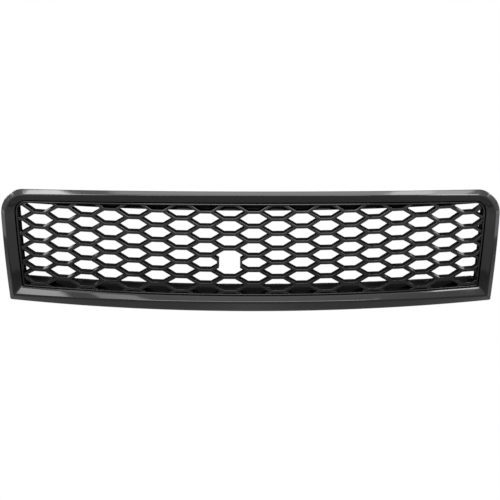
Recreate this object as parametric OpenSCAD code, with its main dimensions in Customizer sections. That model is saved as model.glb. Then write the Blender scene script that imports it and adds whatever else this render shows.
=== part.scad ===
// Front grille for a mid-size saloon. A gloss frame moulding surrounds a satin honeycomb
// insert. The two are screwed together from behind. Four tabs along the top bolt the grille
// to the car, spring clips along the bottom snap into the bumper cover, and a pin at each
// end locates it.
//
// X runs to the right as seen from in front, Y runs to the rear and Z is up.
// The origin is midway between the two inner bolt holes, on the upper face of their sleeves.
//
// The face of the grille is a shallow barrel: it bows back towards its ends, leans back
// towards the top and is crowned from top to bottom. "Depth" always means the distance
// behind the middle of the mesh, measured straight back; in front of it depth is negative.

/* [Face] */
// Plan radius of the face at mid height
face_bow_radius = 1250; // [1150:10:1400]
// Backward slope of the face at mid height
face_lean = 0.184; // [0.15:0.002:0.21]
// Radius of the face from top to bottom
face_crown_radius = 342; // [320:2:400]

/* [Frame] */
// Half of the overall width, taken just below the upper corners
frame_half_width = 409.6; // [405:0.2:413]
// Height of the upper edge above mid height, at the middle
frame_top = 92.8; // [91:0.2:95]
// Height of the lower edge below mid height, at the middle
frame_bottom = 98.3; // [96.7:0.2:100.3]
// Radius of the upper corners
corner_radius = 38; // [34:1:42]
// How far the upper edge falls from the middle to the corners
top_arch = 7.8; // [6:0.2:9]
// Inward slope of the ends, going down
end_slope = 0.098; // [0.09:0.002:0.105]
// Wall thickness of the frame moulding
frame_wall = 2.5; // [2:0.1:3]
// Depth of the frame's outer shoulder
shoulder_depth = -12.5; // [-13.5:0.1:-11.5]
// Depth of the crest, the foremost line of the frame
crest_depth = -21.4; // [-23:0.1:-20]
// Depth of the lip at the inner edge of the bevel
lip_depth = -14.6; // [-15.4:0.1:-14]
// Depth of the rear edge of the frame at mid height
frame_rear_depth = 6; // [5:0.5:8]
// How much the rear edge comes forward for each unit of height, going up
frame_rear_slope = 0.085; // [0.06:0.005:0.1]

/* [Honeycomb] */
// Distance between neighbouring columns of cells
column_pitch = 38.9; // [38.5:0.05:39.3]
// Distance between neighbouring rows of cells
row_pitch = 22.89; // [22.6:0.01:23.2]
// Length of the flat top of a cell, along the middle of the bars
cell_flat = 18.9; // [18.3:0.1:19.5]
// Thickness of the bars
bar_width = 4.5; // [4.1:0.1:4.8]
// Depth of the front of the bars
bar_front = -9; // [-10:0.1:-8]
// Sideways shift of the middle column
column_shift = 5.9; // [5:0.1:7]
// Upward shift of the middle row
row_shift = 2.9; // [2.4:0.1:3.4]
// Clear width of the opening for the bonnet safety-catch lever
lever_width = 34; // [32:0.5:36]

/* [Window] */
// Half width of the open window at mid height
window_half_width = 373.4; // [372:0.2:375]
// Height of the upper edge of the window
window_top = 59.6; // [58.6:0.2:60.2]
// Height of the lower edge of the window below mid height
window_bottom = 57.6; // [56.8:0.2:58.4]
// Depth of the front of the rim around the mesh
rim_front = -12; // [-12.6:0.1:-11]
// Thickness of the rim
rim_wall = 2.2; // [2:0.1:2.6]

/* [Top tabs] */
// Distance from the middle to each inner bolt hole
inner_tab_x = 120; // [110:1:130]
// Distance from the middle to each outer bolt hole
outer_tab_x = 300; // [296:1:302]
// Diameter of the bolt holes through the sleeves
bolt_hole = 6.6; // [5.5:0.1:7]
// Outer diameter of the sleeves
sleeve_diameter = 12; // [11:0.5:13]

/* [Fixings] */
// Distance between neighbouring spring clips
clip_spacing = 160; // [150:2:164]
// Diameter of the locating pins
pin_diameter = 8; // [7:0.5:8.5]
// Shank diameter of the screws that join frame and insert
screw_diameter = 2.9; // [2.5:0.1:3]

/* [Output] */

/* [Hidden] */
$fn = 96;
SMOOTH_TURN = 720;      // facets in a full turn of the wide face radius
SKIN_GAP = 0.1;         // gap between pieces that touch

// An outline is [half width, corner radius, top, top at the corners, bottom,
// bottom at the corners, slope of the ends].
OUTER = [
    frame_half_width, corner_radius, frame_top, frame_top - top_arch,
    -frame_bottom, -frame_bottom + 2.4, end_slope
];
CREST = [
    frame_half_width - 8.6, corner_radius - 7, frame_top - 4.4, frame_top - top_arch - 7.2,
    -frame_bottom + 18.1, -frame_bottom + 13.1, end_slope
];
LIP = [
    frame_half_width - 18.8, corner_radius - 16, frame_top - 13, frame_top - top_arch - 14.6,
    -frame_bottom + 24.1, -frame_bottom + 24.9, end_slope + 0.007
];
RIM = [
    frame_half_width - 25, corner_radius - 21, frame_top - 19, frame_top - top_arch - 18.7,
    -frame_bottom + 26.9, -frame_bottom + 27.5, end_slope + 0.007
];
RETURN = LIP * 0.28 + RIM * 0.72;   // inner edge of the frame, beside the rim of the mesh
REAR = OUTER - [0.6, 0.6, 3, 3, 0, 0, 0];
LOWER_CORNER = 2.5;     // radius of the lower corners of every outline
COARSE = [6, 5, 3, 2, 6];   // steps along half the top, a corner, an end, a lower corner, half the bottom
FINE = [16, 10, 6, 3, 14];

FACE_STEPS = 8;         // straight steps in the crowned profile of the face
FACE_LOW = -108;
FACE_HIGH = 102;

WALL_REAR = -1;         // depth where the inner wall of the frame ends
FLANGE_FRONT = 6.5;     // depths of the blank plate and flange of the insert
FLANGE_REAR = 9;
FLANGE_INSET = 4;       // edge of the flange, inside the outer edge of the frame
FLANGE_DROP = 2.4;      // how much more the flange keeps back along the top
FLANGE = grown(OUTER, -FLANGE_INSET) - [0, 0, FLANGE_DROP, FLANGE_DROP, 0, 0, 0];
BAR_REAR = 9;
HALF_HEIGHT = row_pitch / 2 - bar_width / 2;
SIDE_ANGLE = atan(row_pitch / (2 * (column_pitch - cell_flat)));
HALF_FLAT = cell_flat / 2 - bar_width / 2 * tan(SIDE_ANGLE / 2);
HALF_POINT = HALF_FLAT + HALF_HEIGHT / tan(SIDE_ANGLE);
LAST_COLUMN = 11;
LAST_ROW = 4;
LEVER_COLUMN = -1;
LEVER_ROW = -1;
LEVER_POST = 3.3;       // thickness of the upright bars beside the lever opening

TAB_WIDTH = 44;
TAB_WALL = 3.5;
TAB_REACH = 30;         // from the flange back to the bolt hole
TAB_END = 15;           // from the bolt hole to the rear edge of the tab
INNER_TAB_TOP = frame_top - 15.3;
OUTER_TAB_TOP = frame_top - 20.3;
BOSS_WALL = 4;
RIB_WALL = 2.5;
RIB_DROP = 2.8;         // how far the ribs reach below the tab
SLEEVE_LENGTH = 5.6;
SLEEVE_FLANGE = 1;
INNER_TAB_Y = face_y(inner_tab_x, INNER_TAB_TOP, FLANGE_REAR) + TAB_REACH;
OUTER_TAB_Y = face_y(outer_tab_x, OUTER_TAB_TOP, FLANGE_REAR) + TAB_REACH;
DATUM = [0, INNER_TAB_Y, INNER_TAB_TOP + SLEEVE_FLANGE + SKIN_GAP];

TONGUE_Z = -frame_bottom + 10.8;
TONGUE_WIDTH = 24;
TONGUE_WALL = 2.5;
TONGUE_REACH = 26;
CLIP_WIDTH = 18;
CLIP_WALL = 0.8;
CLIP_LEG = 17;

PIN_X = frame_half_width - 18;
PIN_Z = 5;
PIN_PAD = 14;
PIN_SHOULDER = pin_diameter + 2;
PIN_LENGTH = 18;
COLLAR_LENGTH = 3;

SCREW_SEAT = 12;        // depth of the seats of the screw heads and of the pins
PIN_START = SCREW_SEAT + COLLAR_LENGTH + 0.3;
SCREW_LENGTH = 19;
HEAD_DIAMETER = 6.6;
HEAD_HEIGHT = 2.2;
POST_DIAMETER = 6.4;
POST_REAR = 4.8;
PAD_DIAMETER = 9;
TOP_SCREWS = [-335, -200, 0, 200, 335];
BOTTOM_SCREWS = [-360, -240, 80, 240, 360];
END_SCREWS = [38, -46];

SEAL_DEPTH = 8;
CROSS = [3.4, 2.4, 0.8]; // one bar of the cross recess in a screw head
SEAL_WIDTH = 5;
SEAL_GAP = 1.2;         // from the window to the seals above and below it
SEAL_END_GAP = 1.8;     // from the window to the seals at its ends
SEAL_END_CUT = 1;       // how much each end seal stops short of the window's corners
TOP_SEAL_CUT = 2;       // how much the top seal stops short of the window's ends
LOW_SEAL_CUT = 8;       // the same for the bottom seal
SEAL_LOW = -window_bottom - SEAL_GAP - SEAL_WIDTH;
PAD_LENGTH = 60;
PAD_THICKNESS = 2;
PAD_FRONT = 1;
PAD_REAR = 12;

// ---- shape of the face ----

function lean(z) = face_lean * z + z * z / (2 * face_crown_radius);

// Y of the point of the face at x and z, at a depth
function face_y(x, z, depth) =
    let (r = face_bow_radius - lean(z) - depth) face_bow_radius - sqrt(r * r - x * x);

// The crowned profile is drawn in straight steps between these heights
function face_level(i) = FACE_LOW + (FACE_HIGH - FACE_LOW) * i / FACE_STEPS;

// Everything between two depths
module face_zone(front, rear) {
    translate([0, face_bow_radius, 0])
        rotate_extrude($fn = SMOOTH_TURN)
            polygon(concat(
                [for (i = [0 : FACE_STEPS])
                    [face_bow_radius - lean(face_level(i)) - rear, face_level(i)]],
                [for (i = [FACE_STEPS : -1 : 0])
                    [face_bow_radius - lean(face_level(i)) - front, face_level(i)]]
            ));
}

// A flat shape seen from in front, carried straight through the face
module straight_through(from = -60, to = 180) {
    translate([0, to, 0])
        rotate([90, 0, 0])
            linear_extrude(to - from)
                children();
}

// A flat shape given the curve of the face between two depths
module on_face(front, rear) {
    intersection() {
        face_zone(front, rear);
        straight_through() children();
    }
}

// ---- outlines seen from in front ----

function grown(p, by) = [p[0] + by, p[1] + by, p[2] + by, p[3] + by, p[4] - by, p[5] - by, p[6]];
function between(p, q, t) = p * (1 - t) + q * t;

// Angle at which the top edge runs into the corner
function corner_start(p) = 90 - atan(2 * (p[2] - p[3]) / p[0]);
function corner_point(p, t) = [
    p[0] - p[1] + p[1] * cos(t), p[3] - p[1] * sin(corner_start(p)) + p[1] * sin(t)
];
function top_z(p, x) = p[2] - (p[2] - p[3]) * pow(x / corner_point(p, corner_start(p))[0], 2);
function end_x(p, z) = let (c = corner_point(p, -atan(p[6]))) c[0] - p[6] * (c[1] - z);
function bottom_z(p, x) = p[4] + (p[5] - p[4]) * pow(x / end_x(p, p[5]), 2);

// Right half of an outline, from the middle of the top down to the middle of the bottom
function half_outline(p, steps) =
    let (
        start = corner_start(p),
        finish = -atan(p[6]),
        top_end = corner_point(p, start),
        end_top = corner_point(p, finish),
        low = [end_x(p, p[5]), p[5]],
        end_low = low + LOWER_CORNER * [p[6], 1],
        bottom_x = low[0] - LOWER_CORNER,
        bottom_end = [bottom_x, bottom_z(p, bottom_x)]
    )
    concat(
        [for (i = [0 : steps[0]]) let (x = top_end[0] * i / steps[0]) [x, top_z(p, x)]],
        [for (i = [1 : steps[1]]) corner_point(p, start + (finish - start) * i / steps[1])],
        [for (i = [1 : steps[2]]) between(end_top, end_low, i / steps[2])],
        [for (i = [1 : steps[3]]) let (t = i / steps[3])
            between(between(end_low, low, t), between(low, bottom_end, t), t)],
        [for (i = [1 : steps[4]]) let (x = bottom_x * (1 - i / steps[4])) [x, bottom_z(p, x)]]
    );

function outline(p, steps) =
    let (half = half_outline(p, steps), last = len(half) - 1)
    concat(half, [for (i = [last - 1 : -1 : 1]) [-half[i][0], half[i][1]]]);

// ---- where the screws go, in the hollow of the frame ----

HOLLOW_OUT = grown(OUTER, -frame_wall);
HOLLOW_IN = grown(LIP, frame_wall - 0.3);

SCREWS_TOP = [for (x = TOP_SCREWS) [x, top_z(LIP, x) + 2.6]];
SCREWS_BOTTOM = [for (x = BOTTOM_SCREWS)
    [x, (bottom_z(HOLLOW_OUT, x) + bottom_z(HOLLOW_IN, x)) / 2]];
SCREWS_RIGHT = [for (z = END_SCREWS) [(end_x(HOLLOW_OUT, z) + end_x(HOLLOW_IN, z)) / 2, z]];
SCREWS_LEFT = [for (s = SCREWS_RIGHT) [-s[0], s[1]]];
LOWER_SCREWS = concat(SCREWS_BOTTOM, SCREWS_LEFT, SCREWS_RIGHT);
ALL_SCREWS = concat(SCREWS_TOP, LOWER_SCREWS);

// ---- small building blocks ----

module placed() {
    translate(-DATUM) children();
}

// Cylinder that points to the rear, between two depths behind the face at x and z
module rod_at(spot, diameter, front, rear) {
    translate([spot[0], face_y(spot[0], spot[1], 0) + front, spot[1]])
        rotate([-90, 0, 0])
            cylinder(d = diameter, h = rear - front);
}

// ---- surround ----

// Outline and depth of every edge of the frame's section, in order round the section, and
// for the rear edges how much the depth changes with height
FRAME_SECTION = [
    [REAR, frame_rear_depth, -frame_rear_slope],
    [OUTER, shoulder_depth + 0.8],
    [between(OUTER, CREST, 0.05), shoulder_depth - 0.4],
    [between(OUTER, CREST, 0.16), shoulder_depth - 1.5],
    [between(OUTER, CREST, 0.9), crest_depth + 0.6],
    [between(OUTER, CREST, 0.97), crest_depth + 0.1],
    [between(CREST, LIP, 0.05), crest_depth],
    [between(CREST, LIP, 0.14), crest_depth + 0.6],
    [between(CREST, LIP, 0.92), lip_depth - 0.6],
    [LIP, lip_depth + 0.2],
    [RETURN, lip_depth + 2.2],
    [RETURN, WALL_REAR],
    [grown(RETURN, frame_wall - 0.4), WALL_REAR],
    [grown(RETURN, frame_wall - 0.4), lip_depth + 4.4],
    [grown(LIP, frame_wall - 0.9), lip_depth + 2.6],
    [between(CREST, LIP, 0.25), crest_depth + 4.4],
    [between(CREST, LIP, 0.05), crest_depth + 2.8],
    [grown(OUTER, -frame_wall - 0.1), shoulder_depth - 0.1],
    [grown(REAR, -frame_wall), frame_rear_depth, -frame_rear_slope]
];

function section_depth(s, z) = is_undef(s[2]) ? s[1] : s[1] + s[2] * z;

module frame_shell() {
    rings = [for (s = FRAME_SECTION)
        [for (p = outline(s[0], FINE)) [p[0], face_y(p[0], p[1], section_depth(s, p[1])), p[1]]]];
    n = len(rings[0]);
    k = len(rings);
    polyhedron(
        points = [for (ring = rings) for (p = ring) p],
        faces = [for (i = [0 : k - 1]) for (j = [0 : n - 1])
            let (a = i * n + j, b = i * n + (j + 1) % n,
                 c = ((i + 1) % k) * n + (j + 1) % n, d = ((i + 1) % k) * n + j)
            for (face = [[a, b, c], [a, c, d]]) face],
        convexity = 12
    );
}

module surround() {
    color("#101113")
    placed()
    difference() {
        union() {
            frame_shell();
            for (s = SCREWS_TOP) rod_at(s, POST_DIAMETER, lip_depth + 0.5, POST_REAR);
            for (s = LOWER_SCREWS) rod_at(s, POST_DIAMETER, crest_depth + 4, POST_REAR);
        }
        for (s = ALL_SCREWS)
            rod_at(s, screw_diameter + 0.2, SCREW_SEAT - SCREW_LENGTH - 2, POST_REAR + 1);
    }
}

// ---- honeycomb insert ----

function cell_centre(column, row) = [
    column_shift + column * column_pitch,
    row_shift + (row + (column % 2 == 0 ? 0 : 0.5)) * row_pitch
];

module cell_hole() {
    polygon([
        [-HALF_POINT, 0], [-HALF_FLAT, HALF_HEIGHT], [HALF_FLAT, HALF_HEIGHT],
        [HALF_POINT, 0], [HALF_FLAT, -HALF_HEIGHT], [-HALF_FLAT, -HALF_HEIGHT]
    ]);
}

// Middle of the opening for the safety-catch lever, which takes up two cells
LEVER = (cell_centre(LEVER_COLUMN, LEVER_ROW) + cell_centre(LEVER_COLUMN, LEVER_ROW - 1)) / 2;

module lever_posts() {
    translate(LEVER)
        square([lever_width + 2 * LEVER_POST, row_pitch], center = true);
}

module lever_hole() {
    translate(cell_centre(LEVER_COLUMN, LEVER_ROW)) cell_hole();
    translate(cell_centre(LEVER_COLUMN, LEVER_ROW - 1)) cell_hole();
    translate(LEVER) square([lever_width, row_pitch], center = true);
}

module honeycomb() {
    difference() {
        polygon(outline(grown(RIM, -1.2), COARSE));
        difference() {
            for (column = [-LAST_COLUMN : LAST_COLUMN], row = [-LAST_ROW : LAST_ROW])
                translate(cell_centre(column, row)) cell_hole();
            lever_posts();
        }
        lever_hole();
    }
}

module window() {
    polygon([
        [-window_half_width - end_slope * window_top, window_top],
        [window_half_width + end_slope * window_top, window_top],
        [window_half_width - end_slope * window_bottom, -window_bottom],
        [-window_half_width + end_slope * window_bottom, -window_bottom]
    ]);
}

module top_tab(x, y, top) {
    for (side = [-1, 1]) {
        translate([side * x - TAB_WIDTH / 2, y - TAB_REACH - 2, top - TAB_WALL])
            cube([TAB_WIDTH, TAB_REACH + TAB_END + 2, TAB_WALL]);
        translate([side * x, y, top - TAB_WALL - 1.5])
            cylinder(d = sleeve_diameter + 2 * BOSS_WALL, h = TAB_WALL);
        for (edge = [-1, 1])
            translate([side * x + edge * (TAB_WIDTH / 2 - RIB_WALL) - RIB_WALL / 2,
                       y - TAB_REACH - 2, top - TAB_WALL])
                rotate([90, 0, 90])
                    linear_extrude(RIB_WALL)
                        polygon([
                            [0, 1], [TAB_REACH + 6, 1], [TAB_REACH + 6, -1.5],
                            [3, -RIB_DROP], [0, -RIB_DROP]
                        ]);
    }
}

module tab_bores(x, y, top) {
    for (side = [-1, 1])
        translate([side * x, y, top - 10])
            cylinder(d = sleeve_diameter + 2 * SKIN_GAP, h = 20);
}

module tongue(x) {
    y = face_y(x, TONGUE_Z, FLANGE_FRONT) + 1;
    translate([x - TONGUE_WIDTH / 2, y, TONGUE_Z - TONGUE_WALL / 2])
        cube([TONGUE_WIDTH, TONGUE_REACH, TONGUE_WALL]);
}

module locating_pin(side) {
    spot = [side * PIN_X, PIN_Z];
    rod_at(spot, PIN_PAD, FLANGE_FRONT + 1, SCREW_SEAT);
    rod_at(spot, PIN_SHOULDER, SCREW_SEAT - 1, PIN_START);
    rod_at(spot, pin_diameter, PIN_START - 1, PIN_START + PIN_LENGTH);
    translate([spot[0], face_y(spot[0], spot[1], 0) + PIN_START + PIN_LENGTH, spot[1]])
        rotate([-90, 0, 0])
            cylinder(d1 = pin_diameter, d2 = pin_diameter - 3, h = 3);
}

module honeycomb_insert() {
    color("#1b1c1e")
    placed()
    difference() {
        union() {
            on_face(bar_front, BAR_REAR) honeycomb();
            on_face(FLANGE_FRONT, FLANGE_REAR)
                difference() {
                    polygon(outline(FLANGE, COARSE));
                    window();
                }
            on_face(rim_front, BAR_REAR)
                difference() {
                    polygon(outline(RIM, COARSE));
                    polygon(outline(grown(RIM, -rim_wall), COARSE));
                }
            top_tab(inner_tab_x, INNER_TAB_Y, INNER_TAB_TOP);
            top_tab(outer_tab_x, OUTER_TAB_Y, OUTER_TAB_TOP);
            for (i = [-2 : 2]) tongue(i * clip_spacing);
            for (side = [-1, 1]) locating_pin(side);
            for (s = ALL_SCREWS) rod_at(s, PAD_DIAMETER, POST_REAR + SKIN_GAP, SCREW_SEAT);
        }
        tab_bores(inner_tab_x, INNER_TAB_Y, INNER_TAB_TOP);
        tab_bores(outer_tab_x, OUTER_TAB_Y, OUTER_TAB_TOP);
        for (s = ALL_SCREWS) rod_at(s, screw_diameter + 0.6, POST_REAR - 4, SCREW_SEAT + 2);
    }
}

// ---- sleeves ----

module sleeve(x, y, top) {
    color("#a9adb0")
    placed()
    translate([x, y, top + SKIN_GAP])
    difference() {
        union() {
            translate([0, 0, -SLEEVE_LENGTH]) cylinder(d = sleeve_diameter, h = SLEEVE_LENGTH + 0.5);
            cylinder(d = sleeve_diameter + 4, h = SLEEVE_FLANGE);
        }
        translate([0, 0, -SLEEVE_LENGTH - 1]) cylinder(d = bolt_hole, h = SLEEVE_LENGTH + 4);
    }
}

// ---- spring clips ----

// A strip of the spring steel, drawn from its edge and given its width
module clip_strip(width, points) {
    translate([-width / 2, 0, 0])
        rotate([90, 0, 90])
            linear_extrude(width)
                polygon(points);
}

// One leg with its flared mouth, and the leaf raised from it that catches in the bumper cover
module clip_leg() {
    inner = TONGUE_WALL / 2 + SKIN_GAP;
    clip_strip(CLIP_WIDTH, [
        [SKIN_GAP, inner], [-CLIP_LEG, inner], [-CLIP_LEG - 4, inner + 2.2],
        [-CLIP_LEG - 4, inner + 3.2], [-CLIP_LEG, inner + CLIP_WALL], [SKIN_GAP, inner + CLIP_WALL]
    ]);
    clip_strip(CLIP_WIDTH / 2, [
        [-0.6, inner + CLIP_WALL], [-9, inner + 5.4], [-13, inner + 2.6],
        [-13, inner + 1.6], [-9, inner + 4.4], [-1, inner + CLIP_WALL / 2]
    ]);
}

module clip_bend() {
    inner = TONGUE_WALL / 2 + SKIN_GAP;
    difference() {
        translate([-CLIP_WIDTH / 2, 0, 0])
            rotate([0, 90, 0])
                cylinder(r = inner + CLIP_WALL, h = CLIP_WIDTH);
        translate([-CLIP_WIDTH / 2 - 1, 0, 0])
            rotate([0, 90, 0])
                cylinder(r = inner, h = CLIP_WIDTH + 2);
        translate([-CLIP_WIDTH / 2 - 1, -10, -5])
            cube([CLIP_WIDTH + 2, 10, 10]);
    }
}

module clip(x) {
    color("#6f7377")
    placed()
    translate([x, face_y(x, TONGUE_Z, FLANGE_FRONT) + 1 + TONGUE_REACH + SKIN_GAP, TONGUE_Z]) {
        clip_leg();
        mirror([0, 0, 1]) clip_leg();
        clip_bend();
    }
}

// ---- screws ----

module screws(spots) {
    color("#3c3e40")
    placed()
    for (s = spots)
        difference() {
            union() {
                rod_at(s, screw_diameter, SCREW_SEAT - SCREW_LENGTH + 3, SCREW_SEAT + 1);
                translate([s[0], face_y(s[0], s[1], 0) + SCREW_SEAT - SCREW_LENGTH, s[1]])
                    rotate([-90, 0, 0])
                        cylinder(d1 = 0.8, d2 = screw_diameter, h = 3);
                rod_at(s, HEAD_DIAMETER, SCREW_SEAT + SKIN_GAP, SCREW_SEAT + SKIN_GAP + HEAD_HEIGHT);
            }
            for (turn = [0, 90])
                translate([s[0], face_y(s[0], s[1], 0) + SCREW_SEAT + SKIN_GAP + HEAD_HEIGHT, s[1]])
                    rotate([0, turn, 0])
                        cube(CROSS, center = true);
        }
}

// ---- seals, collars and pads ----

module rear_seal() {
    color("#26272a")
    placed()
    on_face(FLANGE_REAR + SKIN_GAP, FLANGE_REAR + SEAL_DEPTH)
        children();
}

module long_strip(low, shortened) {
    half = window_half_width - shortened;
    translate([-half, low]) square([2 * half, SEAL_WIDTH]);
}

module end_strip() {
    x = window_half_width + SEAL_END_GAP;
    high = window_top - SEAL_END_CUT;
    low = -window_bottom + SEAL_END_CUT;
    polygon([
        [x + end_slope * high, high],
        [x + end_slope * high + SEAL_WIDTH, high],
        [x + end_slope * low + SEAL_WIDTH, low],
        [x + end_slope * low, low]
    ]);
}

module pin_collar(side) {
    spot = [side * PIN_X, PIN_Z];
    color("#17181a")
    placed()
    difference() {
        rod_at(spot, PIN_PAD, SCREW_SEAT + SKIN_GAP, SCREW_SEAT + SKIN_GAP + COLLAR_LENGTH);
        rod_at(spot, PIN_SHOULDER + 2 * SKIN_GAP, SCREW_SEAT - 1, SCREW_SEAT + COLLAR_LENGTH + 2);
    }
}

module bottom_pad(x) {
    color("#2b2c2f")
    placed()
    on_face(PAD_FRONT, PAD_REAR)
        intersection() {
            difference() {
                polygon(outline(grown(OUTER, SKIN_GAP + PAD_THICKNESS), FINE));
                polygon(outline(grown(OUTER, SKIN_GAP), FINE));
            }
            translate([x - PAD_LENGTH / 2, -frame_bottom - 10]) square([PAD_LENGTH, 20]);
        }
}

// ---- pieces ----

surround();
honeycomb_insert();
sleeve(-outer_tab_x, OUTER_TAB_Y, OUTER_TAB_TOP);  // sleeve_outer_left
sleeve(-inner_tab_x, INNER_TAB_Y, INNER_TAB_TOP);  // sleeve_inner_left
sleeve(inner_tab_x, INNER_TAB_Y, INNER_TAB_TOP);  // sleeve_inner_right
sleeve(outer_tab_x, OUTER_TAB_Y, OUTER_TAB_TOP);  // sleeve_outer_right
clip(-2 * clip_spacing);  // clip_far_left
clip(-clip_spacing);  // clip_left
clip(0);  // clip_middle
clip(clip_spacing);  // clip_right
clip(2 * clip_spacing);  // clip_far_right
screws(SCREWS_TOP);  // top_screws
screws(SCREWS_BOTTOM);  // bottom_screws
screws(SCREWS_LEFT);  // left_screws
screws(SCREWS_RIGHT);  // right_screws
rear_seal() long_strip(window_top + SEAL_GAP, TOP_SEAL_CUT);  // rear_seal_top
rear_seal() long_strip(SEAL_LOW, LOW_SEAL_CUT);  // rear_seal_bottom
rear_seal() mirror([1, 0]) end_strip();  // rear_seal_left
rear_seal() end_strip();  // rear_seal_right
pin_collar(-1);  // pin_collar_left
pin_collar(1);  // pin_collar_right
bottom_pad(-240);  // bottom_pad_far_left
bottom_pad(-80);  // bottom_pad_left
bottom_pad(80);  // bottom_pad_right
bottom_pad(240);  // bottom_pad_far_right
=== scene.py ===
import math
import random

import bmesh
import bpy
import numpy as np
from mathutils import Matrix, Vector
from mathutils.geometry import delaunay_2d_cdt


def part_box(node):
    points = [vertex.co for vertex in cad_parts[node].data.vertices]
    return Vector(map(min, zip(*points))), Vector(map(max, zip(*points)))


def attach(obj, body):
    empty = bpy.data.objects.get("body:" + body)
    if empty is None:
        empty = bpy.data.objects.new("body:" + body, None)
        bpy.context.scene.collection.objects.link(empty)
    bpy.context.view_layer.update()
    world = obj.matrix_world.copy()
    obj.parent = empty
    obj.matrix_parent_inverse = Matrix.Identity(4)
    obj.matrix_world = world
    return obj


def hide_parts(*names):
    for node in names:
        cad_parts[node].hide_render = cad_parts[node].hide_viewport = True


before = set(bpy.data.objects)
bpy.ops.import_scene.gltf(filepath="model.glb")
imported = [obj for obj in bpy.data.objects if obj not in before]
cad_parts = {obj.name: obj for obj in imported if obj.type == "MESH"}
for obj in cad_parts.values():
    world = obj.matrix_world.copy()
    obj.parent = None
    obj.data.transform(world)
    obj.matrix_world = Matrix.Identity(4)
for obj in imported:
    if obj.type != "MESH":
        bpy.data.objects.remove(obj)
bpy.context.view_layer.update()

# ---- The surround -------------------------------------------------------------------------
# One injection-moulded frame in gloss black, open to the rear. A crest runs right round it,
# with a bevel falling inwards to a thin lip and a short return that slopes back behind the
# lip. Fourteen hollow posts behind it take the screws.

# The face is a shallow barrel. Depth is measured straight back from the middle of the mesh.
FACE_BOW_RADIUS = 1.250
FACE_LEAN = 0.184
FACE_CROWN_RADIUS = 0.342


def lean(z):
    return FACE_LEAN * z + z * z / (2 * FACE_CROWN_RADIUS)


def face_y(x, z, depth):
    r = FACE_BOW_RADIUS - lean(z) - depth
    return FACE_BOW_RADIUS - math.sqrt(r * r - x * x)


# An outline is half width, corner radius, top, top at the corners, bottom,
# bottom at the corners, and how far the ends slope inwards going down.
OUTER = np.array([0.40957, 0.038, 0.0928, 0.0850, -0.0983, -0.0959, 0.098])
CREST = np.array([0.4010, 0.031, 0.0884, 0.0778, -0.0802, -0.0852, 0.098])
LIP = np.array([0.3908, 0.022, 0.0798, 0.0704, -0.0742, -0.0734, 0.105])
RIM = np.array([0.3846, 0.017, 0.0738, 0.0663, -0.0714, -0.0708, 0.105])
RETURN = LIP * 0.28 + RIM * 0.72
REAR = OUTER - np.array([0.0006, 0.0006, 0.003, 0.003, 0, 0, 0])
LOWER_CORNER = 0.0025
FRAME_STEPS = (44, 14, 8, 4, 40)


def grown(outline, by):
    return outline + np.array([by, by, by, by, -by, -by, 0.0])


def corner_point(outline, angle):
    half, radius, _, top_end = outline[:4]
    start = corner_start(outline)
    return (half - radius + radius * math.cos(angle),
            top_end - radius * math.sin(start) + radius * math.sin(angle))


def corner_start(outline):
    return math.pi / 2 - math.atan(2 * (outline[2] - outline[3]) / outline[0])


def top_z(outline, x):
    reach = corner_point(outline, corner_start(outline))[0]
    return outline[2] - (outline[2] - outline[3]) * (x / reach) ** 2


def end_x(outline, z):
    x, top = corner_point(outline, -math.atan(outline[6]))
    return x - outline[6] * (top - z)


def bottom_z(outline, x):
    return outline[4] + (outline[5] - outline[4]) * (x / end_x(outline, outline[5])) ** 2


def loop_of(outline, steps):
    """The outline seen from in front, clockwise from the middle of its top edge."""
    start, finish = corner_start(outline), -math.atan(outline[6])
    top_end = corner_point(outline, start)
    end_top = np.array(corner_point(outline, finish))
    low = np.array([end_x(outline, outline[5]), outline[5]])
    end_low = low + min(LOWER_CORNER, outline[1]) * np.array([outline[6], 1])
    bottom_x = low[0] - min(LOWER_CORNER, outline[1])
    bottom_end = np.array([bottom_x, bottom_z(outline, bottom_x)])
    half = []
    for i in range(steps[0] + 1):
        x = top_end[0] * i / steps[0]
        half.append((x, top_z(outline, x)))
    for i in range(1, steps[1] + 1):
        half.append(corner_point(outline, start + (finish - start) * i / steps[1]))
    for i in range(1, steps[2] + 1):
        half.append(tuple(end_top + (end_low - end_top) * i / steps[2]))
    for i in range(1, steps[3] + 1):
        t = i / steps[3]
        half.append(tuple((1 - t) ** 2 * end_low + 2 * t * (1 - t) * low + t * t * bottom_end))
    for i in range(1, steps[4] + 1):
        x = bottom_x * (1 - i / steps[4])
        half.append((x, bottom_z(outline, x)))
    return half + [(-x, z) for x, z in half[-2:0:-1]]


def rounded_section(corners, steps=4):
    """Rings round a moulding's section, with its corners rounded. Each corner is an outline,
    a depth, a radius and, where the depth changes with height, its slope."""
    sides = [np.append(corner[0], (corner[1], *(corner[3:] or (0.0,)))) for corner in corners]
    rings = []
    for i, (_, _, radius, *_) in enumerate(corners):
        here = sides[i]
        ends = []
        for there in (sides[i - 1], sides[(i + 1) % len(sides)]):
            step = there - here
            across = (abs(step[0]) + abs(step[2]) + abs(step[4])) / 3
            ends.append(here + step * min(0.46, radius / max(math.hypot(across, step[7]), 1e-6)))
        for k in range(steps + 1):
            t = k / steps
            rings.append((1 - t) ** 2 * ends[0] + 2 * t * (1 - t) * here + t * t * ends[1])
    return rings


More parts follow.
